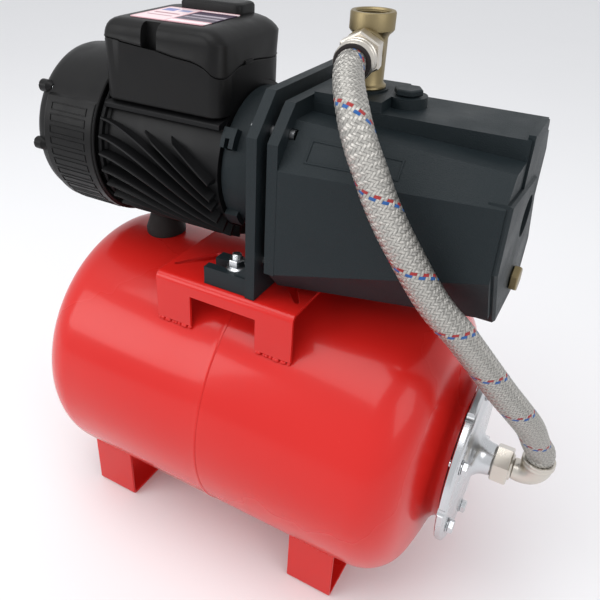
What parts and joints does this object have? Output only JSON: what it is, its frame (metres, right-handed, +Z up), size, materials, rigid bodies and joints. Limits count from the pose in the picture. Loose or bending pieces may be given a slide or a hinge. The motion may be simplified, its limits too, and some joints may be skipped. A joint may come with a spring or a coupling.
{
  "type": "jet pump booster set",
  "caption": "Shallow well jet pump and motor bolted on a horizontal red pressure tank, with a braided hose from the outlet tee to the tank flange.",
  "frame": {"origin": "middle of the footprint, on the floor under the tank feet, measured without the hose", "axes": "+X along the tank and pump axis towards the tank flange and suction end, -Y the side the hose hangs on, +Z up"},
  "size_m": [0.5558, 0.282, 0.549],
  "materials": {
    "red_paint": "glossy red powder coat",
    "black_paint": "satin black paint on aluminium",
    "black_plastic": "satin moulded black plastic",
    "slate_casting": "dark slate paint over rough cast iron",
    "galvanised_steel": "bright zinc plate",
    "stainless_braid": "woven stainless wire with red and blue tracers",
    "shaft_steel": "ground steel",
    "nickel_plate": "satin nickel plate",
    "brass": "dull cast brass",
    "black_rubber": "matt moulded rubber",
    "lamination_steel": "stacked sheet edges",
    "copper_winding": "varnished copper wire",
    "pale_plastic": "moulded engineering plastic",
    "printed_label": null
  },
  "bodies": {
    "set": {"tank_shell_motor_end": "red_paint", "tank_shell_flange_end": "red_paint", "bladder": "black_rubber", "air_valve": "brass", "tank_flange": "galvanised_steel", "flange_bolt_1": "galvanised_steel", "flange_bolt_2": "galvanised_steel", "flange_bolt_3": "galvanised_steel", "flange_bolt_4": "galvanised_steel", "flange_bolt_5": "galvanised_steel", "flange_bolt_6": "galvanised_steel", "tank_hose_nut": "nickel_plate", "hose_elbow": "nickel_plate", "braided_hose": "stainless_braid", "outlet_tee": "brass", "hose_nut": "nickel_plate", "hose_ferrule": "nickel_plate", "pump_platform": "red_paint", "foot_bracket_motor_end": "red_paint", "foot_bracket_flange_end": "red_paint", "motor_rubber_support": "black_rubber", "motor_frame": "black_paint", "stator_core": "lamination_steel", "stator_winding": "copper_winding", "rear_end_shield": "black_paint", "bearing_rear": "shaft_steel", "bearing_front": "shaft_steel", "fan_cover": "black_plastic", "fan_cover_screw_1": "galvanised_steel", "fan_cover_screw_2": "galvanised_steel", "fan_cover_screw_3": "galvanised_steel", "terminal_box_base": "black_plastic", "terminal_box_lid": "black_plastic", "box_lid_screw": "galvanised_steel", "run_capacitor": "pale_plastic", "cable_gland": "black_plastic", "rating_label": "printed_label", "pump_bracket": "slate_casting", "pump_body": "slate_casting", "foot_bolt_front": "galvanised_steel", "foot_nut_front": "galvanised_steel", "foot_bolt_rear": "galvanised_steel", "foot_nut_rear": "galvanised_steel", "body_bolt_1": "galvanised_steel", "body_bolt_2": "galvanised_steel", "body_bolt_3": "galvanised_steel", "body_bolt_4": "galvanised_steel", "seal_seat": "pale_plastic", "diffuser": "pale_plastic", "venturi_tube": "pale_plastic", "ejector_nozzle": "brass"},
    "rotor": {"rotor_shaft": "shaft_steel", "rotor_core": "lamination_steel", "cooling_fan": "pale_plastic", "impeller": "brass", "seal_rotating": "black_rubber"},
    "valve_cap": {"air_valve_cap": "black_plastic"},
    "priming": {"priming_plug": "slate_casting"},
    "drain": {"drain_plug": "brass"}
  },
  "joints": [
    {"name": "rotor_spin", "type": "hinge", "parent": "set", "child": "rotor", "pos_m": [-0.0139, 0, 0.415], "axis": [1, 0, 0], "continuous": true},
    {"name": "priming_plug_lift", "type": "slide", "parent": "set", "child": "priming", "axis": [0, 0, 1], "range_m": [0, 0.04]},
    {"name": "drain_plug_pull", "type": "slide", "parent": "set", "child": "drain", "axis": [1, 0, 0], "range_m": [0, 0.04]},
    {"name": "valve_cap_pull", "type": "slide", "parent": "set", "child": "valve_cap", "axis": [-1, 0, 0], "range_m": [0, 0.04]}
  ]
}
